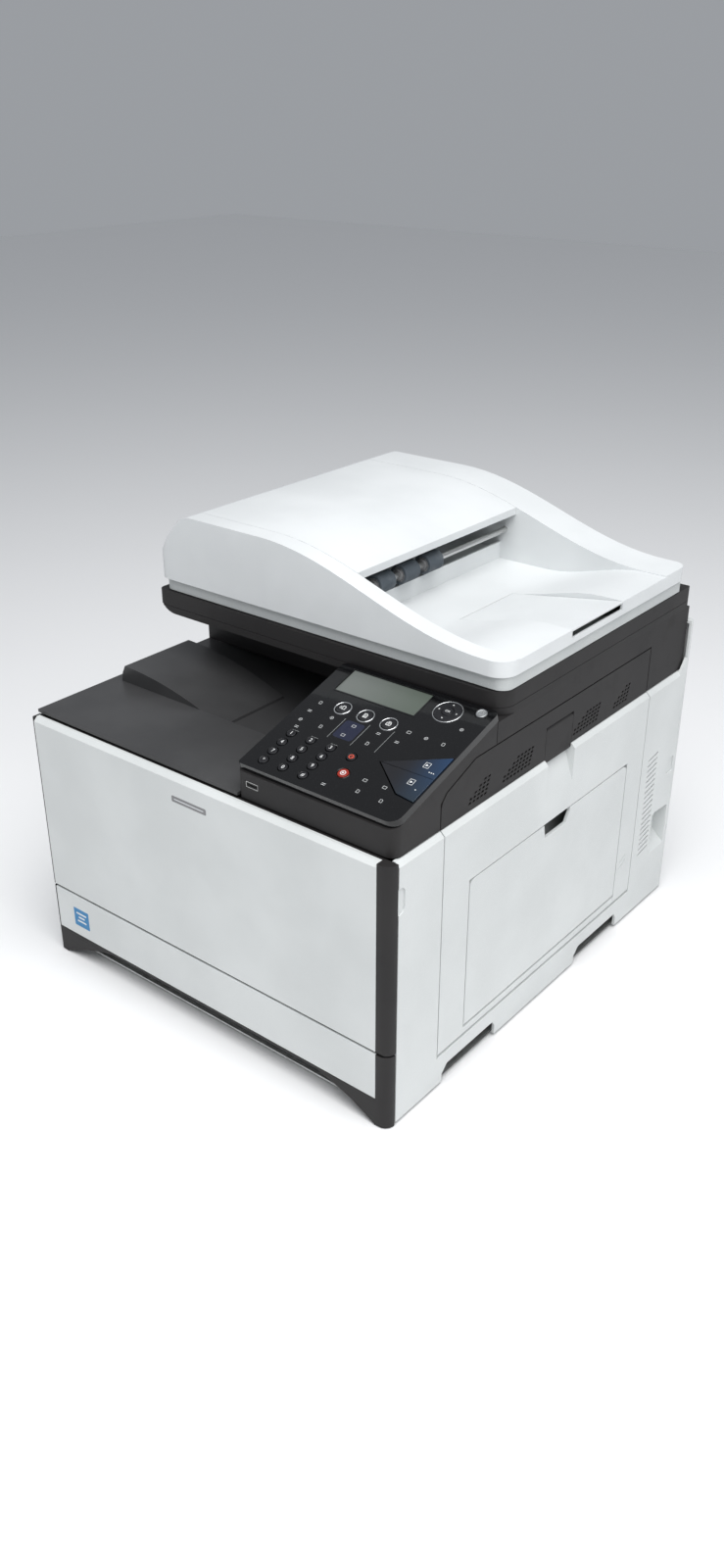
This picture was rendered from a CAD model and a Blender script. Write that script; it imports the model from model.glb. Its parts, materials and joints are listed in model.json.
"""Looks of a desktop photocopier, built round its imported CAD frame. Metres; X right, Y back, Z up."""

import json
import math

import bmesh
import bpy
from mathutils import Matrix, Vector


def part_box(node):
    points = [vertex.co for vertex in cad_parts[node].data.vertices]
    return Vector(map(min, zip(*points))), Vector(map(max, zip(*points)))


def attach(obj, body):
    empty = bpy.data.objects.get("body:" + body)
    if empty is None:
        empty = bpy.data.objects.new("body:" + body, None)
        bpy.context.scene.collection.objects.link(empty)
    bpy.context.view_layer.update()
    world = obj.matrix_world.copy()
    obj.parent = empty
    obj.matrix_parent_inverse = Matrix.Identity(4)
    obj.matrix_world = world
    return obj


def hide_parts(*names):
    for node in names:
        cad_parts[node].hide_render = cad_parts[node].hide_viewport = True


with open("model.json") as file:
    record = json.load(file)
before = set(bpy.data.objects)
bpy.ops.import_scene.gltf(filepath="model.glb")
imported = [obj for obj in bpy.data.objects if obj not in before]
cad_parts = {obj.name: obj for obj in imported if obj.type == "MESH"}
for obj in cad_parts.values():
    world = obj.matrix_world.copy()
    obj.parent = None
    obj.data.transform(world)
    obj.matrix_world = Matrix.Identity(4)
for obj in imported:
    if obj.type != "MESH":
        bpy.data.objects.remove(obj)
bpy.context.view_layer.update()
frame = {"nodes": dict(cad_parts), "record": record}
record = frame["record"]
NODES = frame["nodes"]
MM = 0.001
SAME_PLACE = 0.001 * MM  # corners nearer than this are one corner
# Takes a shape drawn in X and Y onto a face that looks to the front
TO_FRONT = Matrix(((1, 0, 0, 0), (0, 0, -1, 0), (0, 1, 0, 0), (0, 0, 0, 1)))


# ---------- measures taken from the frame ----------

class Box:
    """Lowest and highest corner of one or more CAD nodes."""

    def __init__(self, *nodes):
        corners = [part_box(node) for node in nodes]
        self.lo = Vector([min(c[0][i] for c in corners) for i in range(3)])
        self.hi = Vector([max(c[1][i] for c in corners) for i in range(3)])

    @property
    def mid(self):
        return (self.lo + self.hi) / 2


BODY_OF = {node: body for body, nodes in record["behaviour"]["bodies"].items() for node in nodes}
SLOT_OF = {part["node"]: part["material_slot"] for part in record["subparts"]}
JOINT = {joint["name"]: joint for joint in record["behaviour"]["joints"]}


class Slope:
    """The control panel's own axes: u to the right, v up the slope, h out of the face."""

    def __init__(self, node, key_joint):
        box = Box(node)
        self.normal = -Vector(JOINT[key_joint]["axis"]).normalized()
        self.right = Vector((1, 0, 0))
        self.up = self.normal.cross(self.right).normalized()
        cos, sin = self.up.y, self.up.z
        dy, dz = box.hi.y - box.lo.y, box.hi.z - box.lo.z
        thickness = (dz * cos - dy * sin) / (cos * cos - sin * sin)
        self.origin = Vector((box.lo.x, box.lo.y, box.lo.z + thickness * cos))

    def at(self, u, v, h=0.0):
        return self.origin + self.right * u + self.up * v + self.normal * h

    def matrix(self, u, v, h=0.0):
        """Takes a flat shape drawn in X and Y onto the face."""
        turn = Matrix((self.right, self.up, self.normal)).transposed().to_4x4()
        return Matrix.Translation(self.at(u, v, h)) @ turn

    def place(self, point):
        """The (u, v, h) of a point in space."""
        offset = point - self.origin
        return offset.dot(self.right), offset.dot(self.up), offset.dot(self.normal)

    def top_of(self, node):
        """Centre (u, v, h) and size (width, length) of the upper face of a key."""
        points = [self.place(vertex.co) for vertex in NODES[node].data.vertices]
        height = max(p[2] for p in points)
        rim = [p for p in points if height - p[2] < 0.05 * MM]
        low = [min(p[i] for p in rim) for i in (0, 1)]
        high = [max(p[i] for p in rim) for i in (0, 1)]
        centre = ((low[0] + high[0]) / 2, (low[1] + high[1]) / 2, height)
        return centre, (high[0] - low[0], high[1] - low[1])


# ---------- shader maths ----------

class Wire:
    """A number socket that takes part in Python arithmetic; each operator adds its Math node."""

    def __init__(self, finish, socket):
        self.finish = finish
        self.socket = socket

    def maths(self, operation, *values):
        inputs = dict(enumerate(values))
        return self.finish.node("ShaderNodeMath", {"operation": operation}, inputs)

    def __add__(self, other):
        return self.maths("ADD", self, other)

    def __sub__(self, other):
        return self.maths("SUBTRACT", self, other)

    def __mul__(self, other):
        return self.maths("MULTIPLY", self, other)

    def __truediv__(self, other):
        return self.maths("DIVIDE", self, other)

    def __pow__(self, other):
        return self.maths("POWER", self, other)

    def between(self, low, high):
        """0 below low, 1 above high, smooth in between."""
        return self.finish.node("ShaderNodeMapRange", {"interpolation_type": "SMOOTHSTEP"},
                                {"Value": self, "From Min": low, "From Max": high})


class Finish:
    """A material under construction."""

    def __init__(self, name):
        self.material = bpy.data.materials.new(name)
        self.material.use_nodes = True
        self.tree = self.material.node_tree
        self.tree.nodes.clear()
        self.object_place = self.node("ShaderNodeTexCoord", output="Object")

    def node(self, kind, settings=None, inputs=None, output=0):
        """Adds a node: its settings first, then the values or links of its sockets."""
        made = self.tree.nodes.new(kind)
        for name, value in (settings or {}).items():
            setattr(made, name, value)
        for name, value in (inputs or {}).items():
            socket = made.inputs[name]
            if isinstance(value, Wire):
                self.tree.links.new(value.socket, socket)
            elif socket.type == "RGBA":
                socket.default_value = (*value, 1)
            else:
                socket.default_value = value
        return Wire(self, made.outputs[output])

    def scaled(self, x, y, z):
        """Object coordinates, stretched."""
        inputs = {"Vector": self.object_place, "Scale": (x, y, z)}
        return self.node("ShaderNodeMapping", inputs=inputs)

    def noise(self, scale, detail=3.0, rough=0.5, place=None):
        inputs = {"Vector": place or self.object_place, "Scale": scale,
                  "Detail": detail, "Roughness": rough}
        return self.node("ShaderNodeTexNoise", inputs=inputs)

    def axis(self, name):
        """One of the object coordinates, X, Y or Z."""
        inputs = {"Vector": self.object_place}
        return self.node("ShaderNodeSeparateXYZ", inputs=inputs, output=name)

    def mix(self, factor, first, second):
        """A colour between two colours; the Mix node's colour sockets are known by number."""
        sockets = {0: factor, 6: first, 7: second}
        return self.node("ShaderNodeMix", {"data_type": "RGBA"}, sockets, output=2)

    def bump(self, height, distance, strength=1.0):
        inputs = {"Height": height, "Distance": distance, "Strength": strength}
        return self.node("ShaderNodeBump", inputs=inputs)

    def done(self, **inputs):
        """Joins a Principled shader with these inputs to the output and returns the material."""
        named = {name.replace("_", " ").title().replace("Ior", "IOR"): value
                 for name, value in inputs.items()}
        shader = self.node("ShaderNodeBsdfPrincipled", inputs=named)
        output = self.tree.nodes.new("ShaderNodeOutputMaterial")
        self.tree.links.new(shader.socket, output.inputs["Surface"])
        return self.material


# ---------- finishes ----------

def moulded(name, dark, light, rough, grain_size, grain_depth, fleck=0.0, coat=0.0):
    """Moulded plastic: fine spark-eroded grain, faint uneven colour, and flecks where it is pearly."""
    make = Finish(name)
    grain = make.noise(grain_size, 4)
    cloud = make.noise(11, 3).between(0.3, 0.7)
    colour = make.mix(cloud, dark, light)
    if fleck:
        spark = make.noise(3400, 1).between(0.6, 0.72) * fleck
        colour = make.mix(spark, colour, (0.92, 0.94, 0.94))
    handled = make.noise(38, 5, 0.6).between(0.52, 0.75)
    return make.done(base_color=colour, roughness=grain * 0.14 + handled * 0.05 + rough,
                     coat_weight=coat, coat_roughness=0.25, specular_ior_level=0.36,
                     normal=make.bump(grain, grain_depth * MM, 0.35))


def glossy(name, colour, dusty=(0.25, 0.25, 0.26), rough=0.07):
    """Polished plastic with faint smears from wiping and specks of dust."""
    make = Finish(name)
    smear = make.noise(1.0, 5, 0.65, make.scaled(22, 60, 60)).between(0.5, 0.8)
    dust = make.noise(1500, 1).between(0.68, 0.74)
    tint = make.mix(dust * 0.07, colour, dusty)
    return make.done(base_color=tint, roughness=smear * 0.09 + rough, specular_ior_level=0.42,
                     coat_weight=0.12, coat_roughness=0.04)


def metal(name, colour, rough, streaks=(4, 400, 400), spangle=False):
    """Sheet or bar metal, brushed along its streaks' small scale; zinc shows a spangle of crystals."""
    make = Finish(name)
    line = make.noise(1.0, 4, 0.6, make.scaled(*streaks))
    dull = tuple(c * 0.72 for c in colour)
    shade = line
    if spangle:
        inputs = {"Vector": make.object_place, "Scale": 170}
        cell = make.node("ShaderNodeTexVoronoi", inputs=inputs, output="Color")
        shade = make.node("ShaderNodeRGBToBW", inputs={"Color": cell})
    return make.done(base_color=make.mix(shade, dull, colour), metallic=0.92,
                     roughness=line * 0.18 + rough, normal=make.bump(line, 0.02 * MM, 0.25))


def rubber(name, dark, light):
    """Ground rubber: fine grit and a dusty bloom."""
    make = Finish(name)
    grit = make.noise(2600, 3)
    bloom = make.noise(60, 4).between(0.45, 0.75)
    return make.done(base_color=make.mix(bloom, dark, light), roughness=grit * 0.15 + 0.62,
                     specular_ior_level=0.3, normal=make.bump(grit, 0.06 * MM, 0.5))


def screen():
    """Unlit display: grey-green, a little darker towards one end, under matt glass."""
    make = Finish("display")
    window = Box("lcd_window")
    lit = make.axis("X").between(window.lo.x, window.hi.x)
    cell = make.noise(2200, 1)
    colour = make.mix(lit, (0.125, 0.137, 0.128), (0.075, 0.092, 0.075))
    return make.done(base_color=make.mix(cell * 0.08, colour, (0.3, 0.32, 0.3)),
                     roughness=cell * 0.04 + 0.2, specular_ior_level=0.5)


def start_blue():
    """Start keys: black at the left, deep blue towards the bright right edge."""
    make = Finish("start_blue")
    box = Box("key_start_mono", "key_start_colour")
    across = (make.axis("X") - box.lo.x) / (box.hi.x - box.lo.x)
    rise = (make.axis("Y") - box.lo.y) / (box.hi.y - box.lo.y)
    hue = make.mix(rise, (0.012, 0.022, 0.034), (0.008, 0.032, 0.085))
    blue = across.between(0.2, 1.0) ** 1.8
    haze = make.noise(500, 2) * 0.03
    return make.done(base_color=make.mix(blue, (0.006, 0.006, 0.008), hue), roughness=haze + 0.1,
                     specular_ior_level=0.55, coat_weight=0.4, coat_roughness=0.03)


def clear_glass(name):
    """Faintly green glass with a film of dust."""
    make = Finish(name)
    film = make.noise(14, 4).between(0.4, 0.8)
    return make.done(base_color=(0.86, 0.92, 0.9), roughness=film * 0.03 + 0.02,
                     transmission_weight=0.82, ior=1.5)


def printed(name, colour):
    """Screen-printed ink, slightly uneven."""
    make = Finish(name)
    weave = make.noise(3000, 2)
    worn = tuple(c * 0.86 for c in colour)
    return make.done(base_color=make.mix(weave, worn, colour), roughness=weave * 0.1 + 0.4)


def foam():
    """White mat that holds originals down: soft skin with tiny pits."""
    make = Finish("platen_mat")
    pits = make.noise(1400, 4)
    return make.done(base_color=make.mix(pits, (0.78, 0.79, 0.78), (0.86, 0.87, 0.86)),
                     roughness=pits * 0.1 + 0.7, normal=make.bump(pits, 0.05 * MM, 0.4))


# Moulded finishes: name, dark and light colour, roughness, grain scale and depth, fleck, coat
PEARL = moulded("pearl_silver", (0.60, 0.62, 0.615), (0.655, 0.675, 0.67),
                0.36, 2100, 0.02, 0.5, 0.1)
WHITE = moulded("bright_white", (0.66, 0.68, 0.685), (0.71, 0.73, 0.735),
                0.36, 2100, 0.02, 0.3, 0.05)
SHELL_GREY = moulded("scanner_silver", (0.46, 0.485, 0.485), (0.51, 0.53, 0.525),
                     0.36, 2100, 0.02, 0.4, 0.05)
DARK = moulded("warm_dark_grey", (0.0125, 0.0115, 0.012), (0.0175, 0.016, 0.016), 0.5, 1500, 0.06)
TRAY = moulded("tray_dark", (0.040, 0.040, 0.041), (0.054, 0.054, 0.055), 0.27, 1300, 0.05)
BLACK = moulded("black_plastic", (0.014, 0.014, 0.015), (0.022, 0.022, 0.023), 0.40, 1500, 0.05)
GREY = moulded("grey_plastic", (0.20, 0.20, 0.205), (0.25, 0.25, 0.255), 0.40, 1500, 0.05)
WHITE_GUIDE = moulded("natural_guide", (0.74, 0.745, 0.73), (0.80, 0.80, 0.79),
                      0.42, 1700, 0.03)
GLOSS = glossy("gloss_black", (0.0035, 0.0035, 0.004))
KEY_BLACK = moulded("key_black", (0.010, 0.010, 0.012), (0.016, 0.016, 0.018), 0.26, 2300, 0.02)
RED = glossy("key_red", (0.27, 0.022, 0.012), (0.5, 0.12, 0.08), 0.3)
SILVER = metal("key_silver", (0.72, 0.74, 0.75), 0.24, (300, 300, 300))
CHROME = metal("chrome_ring", (0.78, 0.79, 0.80), 0.10, (60, 60, 60))
STEEL = metal("galvanised_steel", (0.62, 0.63, 0.62), 0.34, spangle=True)
BRIGHT_STEEL = metal("ground_steel", (0.68, 0.68, 0.67), 0.2, (400, 4, 400))
RUBBER = rubber("roller_rubber", (0.075, 0.090, 0.105), (0.13, 0.145, 0.16))
FOOT_RUBBER = rubber("foot_rubber", (0.02, 0.02, 0.021), (0.05, 0.05, 0.05))
LCD = screen()
START = start_blue()
GLASS = clear_glass("platen_glass")
INK = printed("white_print", (0.80, 0.81, 0.80))
DIM_INK = printed("grey_print", (0.30, 0.31, 0.31))
SIGN_INK = printed("sign_print", (0.52, 0.53, 0.53))
RED_INK = printed("red_print", (0.70, 0.10, 0.06))
BLUE_INK = printed("blue_print", (0.006, 0.009, 0.030))
LABEL_BLUE = printed("label_blue", (0.02, 0.21, 0.46))
MAT = foam()
DRUM = glossy("drum_coating", (0.02, 0.16, 0.17), (0.1, 0.3, 0.3), 0.1)
BELT = moulded("belt_film", (0.012, 0.012, 0.013), (0.02, 0.02, 0.022), 0.16, 1200, 0.02)
TONERS = (("yellow", (0.85, 0.68, 0.04)), ("magenta", (0.62, 0.03, 0.22)),
          ("cyan", (0.02, 0.30, 0.62)), ("black", (0.03, 0.03, 0.03)))
TONER_CAPS = [moulded("cap_" + name, tuple(c * 0.85 for c in colour), colour, 0.34, 1700, 0.03)
              for name, colour in TONERS]


# ---------- mesh work ----------

def flat_turn(points):
    """Signed area of an outline, positive when it runs anticlockwise."""
    return sum(a[0] * b[1] - b[0] * a[1] for a, b in zip(points, points[1:] + points[:1])) / 2


def rounded(width, length, radius, steps=6):
    """Outline of a rounded rectangle about the origin."""
    points = []
    for quarter, (sx, sy) in enumerate(((1, 1), (-1, 1), (-1, -1), (1, -1))):
        cx, cy = sx * (width / 2 - radius), sy * (length / 2 - radius)
        for i in range(steps + 1):
            turn = math.radians(90 * (quarter + i / steps))
            points.append((cx + radius * math.cos(turn), cy + radius * math.sin(turn)))
    return points


def circle(radius, steps):
    """Outline of a circle about the origin."""
    return [(radius * math.cos(math.tau * i / steps), radius * math.sin(math.tau * i / steps))
            for i in range(steps)]


class Work:
    """A mesh being built. Every solid added takes the finish number set at the time."""

    def __init__(self):
        self.mesh = bmesh.new()
        self.number = 0

    def add(self, rows, matrix, cap=True):
        """Skins equal rows of points, one above the other; cap closes the first and the last."""
        made = [[self.mesh.verts.new(matrix @ Vector(p)) for p in row] for row in rows]
        count = len(rows[0])
        faces = []
        for low, high in zip(made, made[1:]):
            for i in range(count):
                j = (i + 1) % count
                faces.append(self.mesh.faces.new((low[i], low[j], high[j], high[i])))
        if cap:
            faces.append(self.mesh.faces.new(list(reversed(made[0]))))
            faces.append(self.mesh.faces.new(made[-1]))
        for face in faces:
            face.material_index = self.number
        return self

    def prism(self, outline, low, high, matrix=Matrix()):
        """Upright block over an outline."""
        outline = list(outline)
        if flat_turn(outline) < 0:
            outline.reverse()
        return self.add([[(x, y, h) for x, y in outline] for h in (low, high)], matrix)

    def block(self, low, high, matrix=Matrix()):
        """Box between two corners."""
        outline = [(low[0], low[1]), (high[0], low[1]), (high[0], high[1]), (low[0], high[1])]
        return self.prism(outline, low[2], high[2], matrix)

    def turned(self, profile, matrix, steps=48):
        """Solid of revolution about Z; profile runs (radius, height) from the bottom to the top."""
        rows = [[(r * x, r * y, h) for x, y in circle(1, steps)] for r, h in profile]
        return self.add(rows, matrix)

    def ring(self, profile, matrix, steps=48):
        """Closed ring about Z from an anticlockwise section of (radius, height) points."""
        rows = [[(r * x, r * y, h) for x, y in circle(1, steps)] for r, h in profile]
        return self.add(rows + rows[:1], matrix, cap=False)

    def border(self, outer, inner, low, high, matrix):
        """Frame between two outlines of equally many points."""
        rows = [[(x, y, low) for x, y in inner], [(x, y, low) for x, y in outer],
                [(x, y, high) for x, y in outer], [(x, y, high) for x, y in inner]]
        return self.add(rows + rows[:1], matrix, cap=False)

    def text(self, words, size, matrix):
        """Thin printed sign, centred."""
        curve = bpy.data.curves.new("sign", "FONT")
        curve.body = words
        curve.size = size
        curve.align_x = curve.align_y = "CENTER"
        curve.extrude = 0.025 * MM
        curve.resolution_u = 3
        holder = bpy.data.objects.new("sign", curve)
        bpy.context.collection.objects.link(holder)
        bpy.context.view_layer.update()
        mesh = holder.to_mesh()
        mesh.transform(matrix)
        first = len(self.mesh.faces)
        self.mesh.from_mesh(mesh)
        self.mesh.faces.ensure_lookup_table()
        for face in self.mesh.faces[first:]:
            face.material_index = self.number
        holder.to_mesh_clear()
        bpy.data.objects.remove(holder)
        return self

    def finish(self, number):
        """Sets the finish of what is added next."""
        self.number = number
        return self

    def piece(self, name, body, slot, finishes, bevel=0.0, sharp=30, replaces=()):
        """Turns the work into a finished piece on its body."""
        bmesh.ops.remove_doubles(self.mesh, verts=self.mesh.verts, dist=SAME_PLACE / 2)
        bmesh.ops.recalc_face_normals(self.mesh, faces=self.mesh.faces)
        mesh = bpy.data.meshes.new(name)
        self.mesh.to_mesh(mesh)
        self.mesh.free()
        return hand_over(name, mesh, body, slot, finishes, bevel, sharp, replaces)


def hand_over(name, mesh, body, slot, finishes, bevel=0.0, sharp=30, replaces=()):
    """Puts a mesh in the scene, rounds its edges, and gives it to its body."""
    piece = bpy.data.objects.new(name, mesh)
    bpy.context.collection.objects.link(piece)
    for finish in finishes[len(mesh.materials):]:
        mesh.materials.append(finish)
    mesh.shade_smooth()
    if bevel:
        rounding = piece.modifiers.new("rounding", "BEVEL")
        rounding.width = bevel
        rounding.segments = 3
        rounding.loop_slide = False
        rounding.limit_method = "ANGLE"
        rounding.angle_limit = math.radians(sharp)
        rounding.harden_normals = True
        rounding.miter_outer = "MITER_ARC"
    else:
        mesh.set_sharp_from_angle(angle=math.radians(sharp))
    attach(piece, body)
    if replaces:
        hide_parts(*replaces)
    return piece


def shell(node, finish, bevel, second=None, choose=None):
    """The CAD piece with its edges rounded; faces that choose picks take the second finish."""
    work = bmesh.new()
    work.from_mesh(NODES[node].data)
    bmesh.ops.remove_doubles(work, verts=work.verts, dist=SAME_PLACE)
    for face in work.faces:
        face.material_index = int(bool(choose and choose(face)))
    mesh = bpy.data.meshes.new(node + "_shell")
    work.to_mesh(mesh)
    work.free()
    if "custom_normal" in mesh.attributes:
        mesh.attributes.remove(mesh.attributes["custom_normal"])
    finishes = [finish] + ([second] if second else [])
    return hand_over(node + "_shell", mesh, BODY_OF[node], SLOT_OF[node], finishes, bevel * MM,
                     replaces=[node])


# ---------- repeats ----------

def row_tree():
    """Node tree: copies of a piece in a row of rows, each a step from the last."""
    tree = bpy.data.node_groups.new("rows_of_pieces", "GeometryNodeTree")
    face = tree.interface
    face.new_socket("Geometry", in_out="OUTPUT", socket_type="NodeSocketGeometry")
    face.new_socket("Geometry", in_out="INPUT", socket_type="NodeSocketGeometry")
    for name, kind in (("Start", "Vector"), ("Step", "Vector"), ("Count", "Int"),
                       ("Row step", "Vector"), ("Rows", "Int"), ("Finish", "Material")):
        face.new_socket(name, in_out="INPUT", socket_type="NodeSocket" + kind)
    add = tree.nodes.new
    given, result = add("NodeGroupInput"), add("NodeGroupOutput")
    rows, row = add("GeometryNodeMeshLine"), add("GeometryNodeMeshLine")
    spread, place = add("GeometryNodeInstanceOnPoints"), add("GeometryNodeInstanceOnPoints")
    joined, real = add("GeometryNodeRealizeInstances"), add("GeometryNodeRealizeInstances")
    paint = add("GeometryNodeSetMaterial")
    link = tree.links.new
    link(given.outputs["Rows"], rows.inputs["Count"])
    link(given.outputs["Start"], rows.inputs["Start Location"])
    link(given.outputs["Row step"], rows.inputs["Offset"])
    link(given.outputs["Count"], row.inputs["Count"])
    link(given.outputs["Step"], row.inputs["Offset"])
    link(rows.outputs["Mesh"], spread.inputs["Points"])
    link(row.outputs["Mesh"], spread.inputs["Instance"])
    link(spread.outputs["Instances"], joined.inputs["Geometry"])
    link(joined.outputs["Geometry"], place.inputs["Points"])
    link(given.outputs["Geometry"], place.inputs["Instance"])
    link(place.outputs["Instances"], real.inputs["Geometry"])
    link(real.outputs["Geometry"], paint.inputs["Geometry"])
    link(given.outputs["Finish"], paint.inputs["Material"])
    link(paint.outputs["Geometry"], result.inputs["Geometry"])
    return tree


ROWS = row_tree()
ROW_INPUT = {item.name: item.identifier for item in ROWS.interface.items_tree
             if item.in_out == "INPUT"}


def repeat(name, work, body, slot, finish, start, step, count, row_step=(0, 0, 0), rows=1):
    """Repeats one small solid over rows and hands the result over as one piece."""
    bmesh.ops.recalc_face_normals(work.mesh, faces=work.mesh.faces)
    mesh = bpy.data.meshes.new(name + "_one")
    work.mesh.to_mesh(mesh)
    work.mesh.free()
    holder = bpy.data.objects.new(name + "_one", mesh)
    bpy.context.collection.objects.link(holder)
    spread = holder.modifiers.new("rows", "NODES")
    spread.node_group = ROWS
    values = {"Start": start, "Step": step, "Count": count,
              "Row step": row_step, "Rows": rows, "Finish": finish}
    for label, value in values.items():
        spread[ROW_INPUT[label]] = value
    bpy.context.view_layer.update()
    seen = holder.evaluated_get(bpy.context.evaluated_depsgraph_get())
    whole = bpy.data.meshes.new_from_object(seen)
    whole.name = name
    bpy.data.objects.remove(holder)
    return hand_over(name, whole, body, slot, [finish])


# ---------- covers and trays ----------

# CAD piece, finish, and radius of its edges in millimetres
SHELLS = (
    ("right_cover", PEARL, 0.5), ("left_cover", PEARL, 0.5), ("rear_cover", PEARL, 0.8),
    ("output_tray", TRAY, 0.8), ("panel_housing", DARK, 0.8), ("upper_housing", DARK, 0.6),
    ("panel_face", GLOSS, 0.4), ("scanner_tub", DARK, 0.8), ("scanner_frame", DARK, 0.6),
    ("front_panel", PEARL, 1.1), ("front_frame", DARK, 0.7), ("side_door", PEARL, 0.7),
    ("side_door_top", DARK, 0.35), ("side_latch", DARK, 0.4), ("bypass_tray", PEARL, 0.6),
    ("bypass_extension", GREY, 0.4), ("bypass_guide_front", BLACK, 0.4),
    ("bypass_guide_rear", BLACK, 0.4),
    ("cassette_front", PEARL, 0.9), ("cassette_trim", DARK, 0.6), ("cassette_tub", GREY, 0.5),
    ("lift_plate", STEEL, 0.3), ("lid_shell", WHITE, 1.0), ("lid_base", SHELL_GREY, 0.8),
    ("feeder_cover", WHITE, 0.8), ("tray_extension", WHITE, 0.6), ("laser_unit", BLACK, 0.8),
    ("lid_hinges", STEEL, 0.4), ("power_inlet", BLACK, 0.4), ("scan_carriage", BLACK, 0.4),
)
for node, finish, bevel in SHELLS:
    shell(node, finish, bevel)

LOUVRE_WALL = 208 * MM  # the chassis walls behind the louvres lie further out than this


def behind_louvres(face):
    return abs(face.normal.x) > 0.9 and abs(face.calc_center_median().x) > LOUVRE_WALL


# The chassis is black where the louvres open on it
shell("chassis", STEEL, 0.25, BLACK, behind_louvres)


# ---------- inside the machine ----------

def islands(node):
    """The node's mesh, and its loose solids as (corners, low corner, high corner)."""
    whole = bmesh.new()
    whole.from_mesh(NODES[node].data)
    bmesh.ops.remove_doubles(whole, verts=whole.verts, dist=SAME_PLACE)
    left = set(whole.verts)
    found = []
    while left:
        group, edge = set(), [next(iter(left))]
        while edge:
            vertex = edge.pop()
            if vertex in group:
                continue
            group.add(vertex)
            edge.extend(e.other_vert(vertex) for e in vertex.link_edges)
        left -= group
        low, high = [[end(v.co[i] for v in group) for i in range(3)] for end in (min, max)]
        found.append((group, low, high))
    return whole, found


def sorted_finish(node, finishes, bevel, pick=lambda low, high: 0):
    """The CAD piece with a finish for each loose solid, picked from its two corners."""
    work, groups = islands(node)
    for group, low, high in groups:
        number = pick(low, high)
        for vertex in group:
            for face in vertex.link_faces:
                face.material_index = number
    mesh = bpy.data.meshes.new(node + "_parts")
    work.to_mesh(mesh)
    work.free()
    return hand_over(node + "_parts", mesh, BODY_OF[node], SLOT_OF[node], finishes, bevel * MM,
                     replaces=[node])


DRUM_MIN_HEIGHT, DRUM_MAX_WIDTH, BELT_MIN_WIDTH = 27.72 * MM, 42 * MM, 100 * MM


def imaging_finish(low, high):
    """0 for a drum, 1 for the belt, 2 for what holds them."""
    wide, tall = high[0] - low[0], high[2] - low[2]
    if tall > DRUM_MIN_HEIGHT and wide < DRUM_MAX_WIDTH:
        return 0
    return 1 if wide > BELT_MIN_WIDTH else 2


sorted_finish("imaging_unit", [DRUM, BELT, STEEL], 0.3, imaging_finish)
sorted_finish("fuser_unit", [STEEL], 0.3)
sorted_finish("toner_cartridges", [BLACK], 0.8)

# Coloured rims on the cartridges' front ends, from left to right
cartridge_mesh, cartridges = islands("toner_cartridges")
for number, (_, low, high) in enumerate(sorted(cartridges, key=lambda item: item[1][0])):
    middle = ((low[0] + high[0]) / 2, low[1] + 0.2 * MM, (low[2] + high[2]) / 2)
    front = Matrix.Translation(middle) @ Matrix.Rotation(math.radians(90), 4, "X")
    wide, tall = high[0] - low[0], high[2] - low[2]
    outer = rounded(wide - 5 * MM, tall - 6 * MM, 9 * MM)
    inner = rounded(wide - 12 * MM, tall - 13 * MM, 6 * MM)
    cap = Work().border(outer, inner, -1.5 * MM, 0.6 * MM, front)
    cap.piece(f"toner_rim_{number + 1}", "frame", "imaging", [TONER_CAPS[number]], bevel=0.25 * MM)
cartridge_mesh.free()

platen = NODES["platen_glass"]
platen.data.materials.clear()
platen.data.materials.append(GLASS)

# Mat that presses originals on the glass
lid_plate = Box("lid_base")
pane = Box("platen_glass")
mat_outline = rounded(pane.hi.x - pane.lo.x + 8 * MM, pane.hi.y - pane.lo.y + 8 * MM, 3 * MM)
mat = Work().prism(mat_outline, -0.35 * MM, 0.15 * MM,
                   Matrix.Translation((pane.mid.x, pane.mid.y, lid_plate.lo.z)))
mat.piece("platen_mat", "lid", "white_lid", [MAT], bevel=0.12 * MM)

# Rubber boots on the feet: their section as (radius, height) in millimetres
BOOT = [(8.6, 0.1), (9.6, 0.3), (11.3, 1.4), (12.2, 3.2), (12.4, 7.5), (12.0, 8.2), (11.1, 8.4),
        (11.1, 1.6), (8.6, 1.4)]
soles = [vertex.co for vertex in NODES["chassis"].data.vertices if vertex.co.z < 0.05 * MM]
for side, end in ((sx, sy) for sx in (-1, 1) for sy in (-1, 1)):
    sole = [v for v in soles if v.x * side > 0 and v.y * end > 0]
    mid = Vector(((min(v.x for v in sole) + max(v.x for v in sole)) / 2,
                  (min(v.y for v in sole) + max(v.y for v in sole)) / 2, 0))
    boot = Work().ring([(r * MM, h * MM) for r, h in BOOT], Matrix.Translation(mid))
    name = "foot_" + ("front" if end < 0 else "rear") + ("_left" if side < 0 else "_right")
    boot.piece(name, "frame", "steel_sheet", [FOOT_RUBBER], sharp=40)


# ---------- document feeder ----------

GROOVE_PITCH = 1.7 * MM
HUB_RIBS = 6
TOOTH_PITCH = 3.2 * MM

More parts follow.
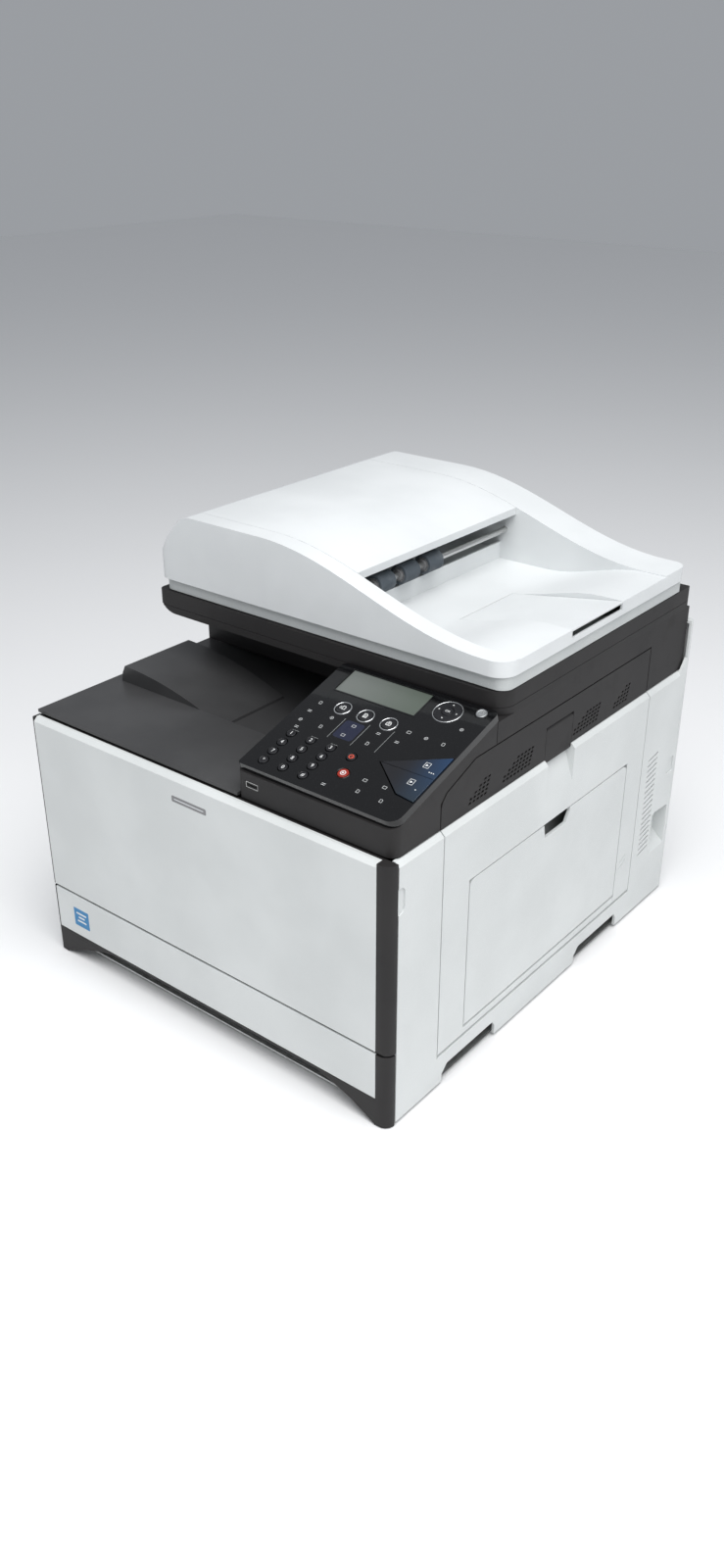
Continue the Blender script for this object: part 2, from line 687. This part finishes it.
def detailed_roller(node):
    """Ground shaft, and tyres with grooved sleeves on ribbed hubs, where the CAD roller has them."""
    box = Box(node)
    middle = box.mid
    points = [vertex.co for vertex in NODES[node].data.vertices]

    def reach(point):
        return math.hypot(point.x - middle.x, point.z - middle.z)

    shaft = min(reach(p) for p in points if p.y < box.lo.y + 1 * MM and reach(p) > 1 * MM)
    ends = sorted({round(p.y / MM, 2) for p in points if reach(p) > shaft + 1 * MM})
    radius = (box.hi.x - box.lo.x) / 2
    along = (Matrix.Translation((middle.x, 0, middle.z))
             @ Matrix.Rotation(math.radians(-90), 4, "X"))
    chamfer = 0.4 * MM
    work = Work()
    work.turned([(shaft - chamfer, box.lo.y), (shaft, box.lo.y + chamfer),
                 (shaft, box.hi.y - chamfer), (shaft - chamfer, box.hi.y)], along, 32)
    bore, rim = shaft - 0.05 * MM, radius - 2.5 * MM
    for low, high in zip(ends[::2], ends[1::2]):
        low, high = low * MM, high * MM
        sleeve = [(radius - 2.6 * MM, low), (radius - 0.5 * MM, low), (radius, low + 0.5 * MM)]
        y = low + 1.6 * MM
        while y < high - 1.4 * MM:
            sleeve += [(radius, y), (radius - 0.3 * MM, y + 0.25 * MM), (radius, y + 0.5 * MM)]
            y += GROOVE_PITCH
        sleeve += [(radius, high - 0.5 * MM), (radius - 0.5 * MM, high), (radius - 2.6 * MM, high)]
        work.finish(1).ring(sleeve, along, 64)
        hub = [(bore, low - 2 * MM), (shaft + 2 * MM, low - 2 * MM),
               (shaft + 2 * MM, low + 0.6 * MM), (rim, low + 0.6 * MM),
               (rim, high - 0.6 * MM), (shaft + 2 * MM, high - 0.6 * MM),
               (shaft + 2 * MM, high + 2 * MM), (bore, high + 2 * MM)]
        work.finish(2).ring(hub, along, 48)
        for arm in range(HUB_RIBS):
            turn = along @ Matrix.Rotation(math.radians(360 / HUB_RIBS * arm), 4, "Z")
            for at, to in ((low - 0.2 * MM, low + 0.7 * MM), (high - 0.7 * MM, high + 0.2 * MM)):
                work.block((shaft + 1.5 * MM, -0.5 * MM, at), (radius - 2.4 * MM, 0.5 * MM, to), turn)
    work.piece(node + "_turned", BODY_OF[node], SLOT_OF[node], [BRIGHT_STEEL, RUBBER, GREY],
               sharp=35, replaces=[node])


detailed_roller("feed_roller")
detailed_roller("exit_roller")

# Toothed strip that guides sheets out from under the feeder cover
cover = Box("feeder_cover")
edge_top = max(vertex.co.z for vertex in NODES["feeder_cover"].data.vertices
               if vertex.co.x > cover.hi.x - 0.2 * MM)
# Section of a tooth below the cover's edge, as (x, z) in millimetres
TOOTH = ((-12.4, -12.6), (-3.6, -6.4), (-3.2, -2.2), (-4.2, -1.4), (-4.4, -6.0), (-12.6, -11.8))
tooth = Work().prism([(x * MM, z * MM) for x, z in TOOTH], -0.8 * MM, 0.8 * MM, TO_FRONT)
toothed = cover.hi.y - cover.lo.y - 36 * MM
repeat("guide_teeth", tooth, "feeder_cover", "white_lid", WHITE_GUIDE,
       (cover.hi.x, cover.lo.y + 12 * MM, edge_top), (0, TOOTH_PITCH, 0), int(toothed / TOOTH_PITCH))


# ---------- control panel ----------

panel = Slope("panel_face", "key_1_press")


def key_cap(node, finishes, dish, sign="", sign_size=0.0):
    """Round key: rolled edge, a dish on top, and its printed sign."""
    (u, v, top), (width, _) = panel.top_of(node)
    radius = width / 2
    foot = min(panel.place(vertex.co)[2] for vertex in NODES[node].data.vertices)
    roll = min(0.5 * MM, radius * 0.12)
    profile = [(radius, foot), (radius, top - roll)]
    for angle in (math.radians(a) for a in (30, 60, 90)):
        profile.append((radius - roll * (1 - math.cos(angle)), top - roll * (1 - math.sin(angle))))
    for share in (0.85, 0.65, 0.45, 0.25, 0.1):
        profile.append((radius * share, top - dish * (1 - share * share)))
    cap = Work().turned(profile, panel.matrix(u, v))
    if sign:
        cap.finish(1).text(sign, sign_size, panel.matrix(u, v, top - dish * 0.55 + 0.04 * MM))
    return cap.piece(node + "_cap", BODY_OF[node], SLOT_OF[node], finishes, sharp=25, replaces=[node])


MODE_KEYS = ("key_copy", "key_scan", "key_fax")
LEGENDS = {"key_star": "*", "key_0": "0", "key_hash": "#",
           **{f"key_{n}": str(n) for n in range(1, 10)}}
for node, sign in LEGENDS.items():
    key_cap(node, [KEY_BLACK, INK], 0.25 * MM, sign, 5.2 * MM)
key_cap("key_stop", [RED], 0.2 * MM)
key_cap("key_clear", [KEY_BLACK], 0.2 * MM)
key_cap("key_power", [SILVER], 0.3 * MM)
for node in MODE_KEYS:
    key_cap(node, [KEY_BLACK], 0.35 * MM)
key_cap("key_ok", [KEY_BLACK, INK], 0.2 * MM, "OK", 3.4 * MM)
shell("key_nav", KEY_BLACK, 0.4)
for node in ("key_start_mono", "key_start_colour"):
    shell(node, START, 0.45)


INK_TOP = 0.06 * MM    # printed marks stand this far out of their face
INK_ROOT = -0.3 * MM   # and reach this far into it


def on_key(name, node, finish, draw, at=None):
    """Mark printed on a key's top: draw gets the work and a function that turns (u, v) offsets
    from the top's middle, or from the place at, into a matrix."""
    (u, v, top), _ = panel.top_of(node)
    u, v = at or (u, v)
    work = Work()
    draw(work, lambda du, dv: panel.matrix(u + du, v + dv, top))
    return work.piece(name, BODY_OF[node], SLOT_OF[node], [finish])


def frame_sign(work, place, outer, inner):
    """Rounded frame between two (width, length, radius) in millimetres."""
    work.border(rounded(*(size * MM for size in outer)), rounded(*(size * MM for size in inner)),
                INK_ROOT, INK_TOP, place)


def ring_sign(work, place, outer, inner, steps, root=INK_ROOT):
    """Ring between two radii in millimetres."""
    work.border(circle(outer * MM, steps), circle(inner * MM, steps), root, INK_TOP, place)


def sheet_sign(work, place, size):
    """Outline of a page with a folded corner."""
    w, h, line = size * 0.78, size, size * 0.11
    page = [(-w / 2, -h / 2), (w / 2, -h / 2), (w / 2, h / 4), (w / 5, h / 2), (-w / 2, h / 2)]
    inner = [(x * (1 - 2 * line / w), y * (1 - 2 * line / h)) for x, y in page]
    work.border(page, inner, INK_ROOT, INK_TOP, place)


def bar_sign(work, place, width, count, pitch):
    """Short stack of lines."""
    for i in range(count):
        y = (i - (count - 1) / 2) * pitch
        work.block((-width / 2, y - pitch * 0.18, INK_ROOT), (width / 2, y + pitch * 0.18, INK_TOP),
                   place)


def copy_mark(work, place):
    sheet_sign(work, place(0.9 * MM, 0.5 * MM), 4.4 * MM)
    bar_sign(work, place(-2.4 * MM, 0.2 * MM), 1.5 * MM, 3, 1.1 * MM)


def scan_mark(work, place):
    sheet_sign(work, place(0, 0), 5 * MM)
    bar_sign(work, place(0, -0.4 * MM), 1.8 * MM, 3, 1.0 * MM)


def fax_mark(work, place):
    frame_sign(work, place(0, -0.4 * MM), (4.8, 3.6, 0.8), (3.8, 2.6, 0.4))
    bar_sign(work, place(0, 2.3 * MM), 3.2 * MM, 1, 1.4 * MM)
    bar_sign(work, place(0, -0.4 * MM), 1.6 * MM, 2, 1.1 * MM)


def clear_mark(work, place):
    ring_sign(work, place(0, 0), 2.4, 1.7, 24)
    work.block((-0.2 * MM, -0.3 * MM, INK_ROOT), (3.0 * MM, 0.3 * MM, INK_TOP), place(0, 0))


def stop_mark(work, place):
    ring_sign(work, place(0, 0), 2.5, 1.9, 32)
    arrow = [(-0.9 * MM, -1.2 * MM), (1.3 * MM, 0), (-0.9 * MM, 1.2 * MM)]
    work.prism(arrow, INK_ROOT, INK_TOP, place(0, 0))


def power_mark(work, place):
    root = -0.4 * MM
    ring_sign(work, place(0, 0), 2.9, 2.2, 32, root)
    work.block((-0.35 * MM, 0.6 * MM, root), (0.35 * MM, 3.6 * MM, INK_TOP), place(0, 0))


def start_mark(dots):
    """Sheet with an arrow, and one dot or three for black or colour."""
    def draw(work, place):
        frame_sign(work, place(0, 0), (5.2, 6.2, 0.4), (4.5, 5.5, 0.2))
        arrow = [(-1.1 * MM, -1.3 * MM), (1.3 * MM, 0), (-1.1 * MM, 1.3 * MM)]
        work.prism(arrow, INK_ROOT, INK_TOP, place(0, 0))
        for i in range(dots):
            shift = (i - (dots - 1) / 2) * 2 * MM
            work.prism(circle(0.55 * MM, 20), INK_ROOT, INK_TOP, place(8.2 * MM + shift, -6 * MM))
    return draw


def nav_arrows(work, place):
    """Four small arrow heads round the middle key."""
    reach, size = 8.6 * MM, 0.9 * MM
    head = [(reach + size, 0), (reach - size * 0.4, size), (reach - size * 0.4, -size)]
    for quarter in range(4):
        turn = place(0, 0) @ Matrix.Rotation(math.radians(90 * quarter), 4, "Z")
        work.prism(head, INK_ROOT, INK_TOP, turn)


on_key("copy_mark", "key_copy", INK, copy_mark)
on_key("scan_mark", "key_scan", INK, scan_mark)
on_key("fax_mark", "key_fax", INK, fax_mark)
on_key("clear_mark", "key_clear", RED_INK, clear_mark)
on_key("stop_mark", "key_stop", INK, stop_mark)
on_key("power_mark", "key_power", DIM_INK, power_mark)
on_key("start_mono_mark", "key_start_mono", INK, start_mark(1), (147.8 * MM, 44.1 * MM))
on_key("start_colour_mark", "key_start_colour", INK, start_mark(3), (148 * MM, 65.4 * MM))
on_key("nav_arrows", "key_nav", INK, nav_arrows)


def raised_ring(name, node, gap, wide, high, finish, slot):
    """Rounded ring on the face, a gap away from a round key."""
    (u, v, _), (width, _) = panel.top_of(node)
    inner = width / 2 + gap
    section = [(inner, -0.4 * MM), (inner + wide, -0.4 * MM), (inner + wide, high * 0.4),
               (inner + wide * 0.75, high * 0.9), (inner + wide * 0.5, high),
               (inner + wide * 0.25, high * 0.9), (inner, high * 0.4)]
    Work().ring(section, panel.matrix(u, v), 64).piece(name, "frame", slot, [finish], sharp=50)


for node in MODE_KEYS:
    raised_ring(node + "_ring", node, 0.75 * MM, 1.1 * MM, 0.7 * MM, CHROME, "key_silver")
raised_ring("stop_ring", "key_stop", 0.7 * MM, 1.0 * MM, 0.5 * MM, GLOSS, "gloss_black")
raised_ring("power_ring", "key_power", 0.6 * MM, 0.6 * MM, 0.35 * MM, GLOSS, "gloss_black")
raised_ring("nav_ring", "key_nav", 0.7 * MM, 0.9 * MM, 0.5 * MM, CHROME, "key_silver")

# Signs printed on the face: (kind, u, v) in millimetres from its near left corner
FACE_SIGNS = (
    ("page", 16.5, 91.3), ("bars", 14.3, 78.8), ("round", 14.2, 66.3), ("round", 38.4, 79.4),
    ("page", 36.7, 66.4), ("frame", 62.8, 78.7), ("frame", 61.1, 65.9), ("bars", 87.6, 80.1),
    ("page", 86.7, 66.2), ("frame", 110.1, 92.4), ("bars", 108.1, 78.1), ("round", 127.5, 92.3),
    ("page", 144.7, 92.2), ("round", 147.9, 113.6), ("frame", 112.3, 29.8), ("page", 114.8, 17.0),
    ("frame", 131.8, 30.0), ("page", 138.4, 16.4), ("bars", 84.1, 11.2), ("bars", 17.0, 57.5),
)


def face_sign(work, kind, u, v):
    place = panel.matrix(u * MM, v * MM)
    if kind == "page":
        sheet_sign(work, place, 3.6 * MM)
    elif kind == "bars":
        bar_sign(work, place, 3.8 * MM, 2, 1.6 * MM)
    elif kind == "round":
        ring_sign(work, place, 1.7, 1.25, 24)
        work.prism(circle(0.5 * MM, 12), INK_ROOT, INK_TOP, place)
    else:
        frame_sign(work, place, (3.8, 3.0, 0.5), (3.0, 2.2, 0.25))


signs = Work()
for kind, u, v in FACE_SIGNS:
    face_sign(signs, kind, u, v)
signs.piece("panel_signs", "frame", "gloss_black", [SIGN_INK])

# Fine rules between the groups of keys, in millimetres: upright (u, v, v) and level (u, v)
UPRIGHT_RULES = ((50, 58, 84), (74.6, 58, 86), (98.5, 60, 88))
LEVEL_RULES = ((20, 52.8), (41, 52.8), (62, 52.8))
LEVEL_LENGTH = 7
rules = Work()
for u, v0, v1 in UPRIGHT_RULES:
    rules.block((u * MM, v0 * MM, INK_ROOT), ((u + 0.35) * MM, v1 * MM, INK_TOP),
                panel.matrix(0, 0))
for u, v in LEVEL_RULES:
    rules.block(((u - LEVEL_LENGTH / 2) * MM, v * MM, INK_ROOT),
                ((u + LEVEL_LENGTH / 2) * MM, (v + 0.3) * MM, INK_TOP), panel.matrix(0, 0))
rules.piece("panel_rules", "frame", "gloss_black", [DIM_INK])

patch = Work().prism(rounded(20 * MM, 22 * MM, 3 * MM), INK_ROOT, 0.03 * MM,
                     panel.matrix(62.3 * MM, 72.3 * MM))
patch.piece("panel_blue_field", "frame", "gloss_black", [BLUE_INK])

# Display: matt screen and the border round it
shell("lcd_window", LCD, 0.2)
corners = [panel.place(vertex.co) for vertex in NODES["lcd_window"].data.vertices]
u0, u1 = min(c[0] for c in corners), max(c[0] for c in corners)
v0, v1 = min(c[1] for c in corners), max(c[1] for c in corners)
wide, long = u1 - u0, v1 - v0
rim = Work().border(rounded(wide + 2.2 * MM, long + 2.2 * MM, 1.2 * MM),
                    rounded(wide - 0.6 * MM, long - 0.6 * MM, 0.4 * MM),
                    -0.4 * MM, 0.3 * MM, panel.matrix((u0 + u1) / 2, (v0 + v1) / 2))
rim.piece("display_border", "frame", "gloss_black", [GLOSS], bevel=0.12 * MM)


# ---------- marks, socket and grilles on the covers ----------

front_cover = Box("front_panel")
cassette = Box("cassette_front")


def on_front(x, y, z):
    """Takes a shape drawn in X and Y onto a front face at this place."""
    return Matrix.Translation((x, y, z)) @ TO_FRONT


badge_at = on_front(-6 * MM, front_cover.lo.y, front_cover.hi.z - 22 * MM)
badge = Work().prism(rounded(42 * MM, 6 * MM, 1.2 * MM), -0.4 * MM, 0.15 * MM, badge_at)
badge.finish(1).prism(rounded(36 * MM, 1.2 * MM, 0.3 * MM), 0, 0.2 * MM, badge_at)
badge.piece("front_badge", "front_cover", "pale_cover", [GREY, SILVER], bevel=0.08 * MM)

label_at = on_front(cassette.lo.x + 36 * MM, cassette.lo.y, cassette.hi.z - 26 * MM)
label = Work().prism(rounded(22 * MM, 21 * MM, 0.8 * MM), -0.3 * MM, 0.06 * MM, label_at)
label.finish(1)
for y, width in ((5, 15), (0.5, 9), (-4, 13)):
    bar_at = label_at @ Matrix.Translation((0, y * MM, 0))
    label.prism(rounded(width * MM, 1.8 * MM, 0.5 * MM), 0, 0.1 * MM, bar_at)
label.piece("cassette_label", "cassette", "pale_cover", [LABEL_BLUE, INK])

# Memory socket: metal shell with its floor, the tongue, and four contacts below it
housing = Box("panel_housing")
port = on_front(housing.lo.x + 15 * MM, housing.lo.y, housing.lo.z + 14.4 * MM)
DEPTH = -9 * MM
socket = Work().border(rounded(13.6 * MM, 5.6 * MM, 0.8 * MM), rounded(12.4 * MM, 4.4 * MM, 0.4 * MM),
                       DEPTH, -0.4 * MM, port)
socket.block((-6.3 * MM, -2.3 * MM, DEPTH), (6.3 * MM, 2.3 * MM, -8.4 * MM), port)
socket.finish(1).block((-5 * MM, 0.1 * MM, -8.8 * MM), (5 * MM, 1.5 * MM, -1.4 * MM), port)
socket.finish(2)
for contact in range(4):
    x = (-3.6 + 2.4 * contact) * MM
    socket.block((x - 0.5 * MM, -0.12 * MM, -8 * MM), (x + 0.5 * MM, 0.12 * MM, -2 * MM), port)
socket.piece("memory_socket", "frame", "steel_part", [BRIGHT_STEEL, BLACK, CHROME],
             bevel=0.12 * MM)

# Black gauze behind the grilles of the side door; each runs from start to end along the door
GRILLES = ((30, 62), (82, 128), (197, 243), (270, 304))
door_top = Box("side_door_top")
for number, (start, end) in enumerate(GRILLES):
    gauze = Work().block(
        (door_top.hi.x - 4.4 * MM, door_top.lo.y + start * MM, door_top.lo.z + 4.5 * MM),
        (door_top.hi.x - 3.4 * MM, door_top.lo.y + end * MM, door_top.lo.z + 36 * MM))
    gauze.piece(f"door_gauze_{number + 1}", "side_door", "dark_cover", [BLACK], bevel=0.2 * MM)


# ---------- floor, light and camera ----------

SKY_COLOUR, SKY_STRENGTH = (0.90, 0.94, 1.0, 1), 0.36
FOCAL_LENGTH, SENSOR = 29.65, 36  # millimetres
EYE = (0.7195, -0.9099, 0.7931)
VIEW_DIRECTION = (-0.5520, 0.6832, -0.4781)

floor = Work().block((-6, -6, -0.02), (6, 6, 0))
bmesh.ops.recalc_face_normals(floor.mesh, faces=floor.mesh.faces)
floor_mesh = bpy.data.meshes.new("floor")
floor.mesh.to_mesh(floor_mesh)
floor_piece = bpy.data.objects.new("floor", floor_mesh)
bpy.context.collection.objects.link(floor_piece)
paint = Finish("studio_floor")
worn = paint.noise(3, 2) * 0.05 + 0.6
floor_piece.data.materials.append(paint.done(base_color=(0.93, 0.93, 0.93), roughness=worn))

world = bpy.data.worlds.new("studio")
world.use_nodes = True
background = world.node_tree.nodes["Background"]
background.inputs["Color"].default_value = SKY_COLOUR
background.inputs["Strength"].default_value = SKY_STRENGTH
bpy.context.scene.world = world


def softbox(name, place, target, wide, high, power):
    """Rectangular lamp that looks at its target; power in watts."""
    lamp = bpy.data.lights.new(name, "AREA")
    lamp.shape = "RECTANGLE"
    lamp.size, lamp.size_y = wide, high
    lamp.energy = power
    holder = bpy.data.objects.new(name, lamp)
    holder.location = place
    look = Vector(target) - Vector(place)
    holder.rotation_euler = look.to_track_quat("-Z", "Y").to_euler()
    bpy.context.collection.objects.link(holder)


softbox("overhead", (0.75, -0.65, 2.2), (0.05, -0.1, 0.3), 2.0, 2.0, 64)
softbox("right_side", (2.4, 0.3, 0.9), (0.1, 0, 0.15), 1.4, 1.0, 3)
softbox("front", (-0.4, -2.5, 0.8), (0, 0, 0.15), 2.0, 1.0, 1.5)

lens = bpy.data.cameras.new("camera")
lens.lens = FOCAL_LENGTH
lens.sensor_width = SENSOR
lens.clip_start = 0.01
eye = bpy.data.objects.new("camera", lens)
eye.location = EYE
eye.rotation_euler = Vector(VIEW_DIRECTION).to_track_quat("-Z", "Y").to_euler()
bpy.context.collection.objects.link(eye)
bpy.context.scene.camera = eye
bpy.context.scene.view_settings.view_transform = "Standard"
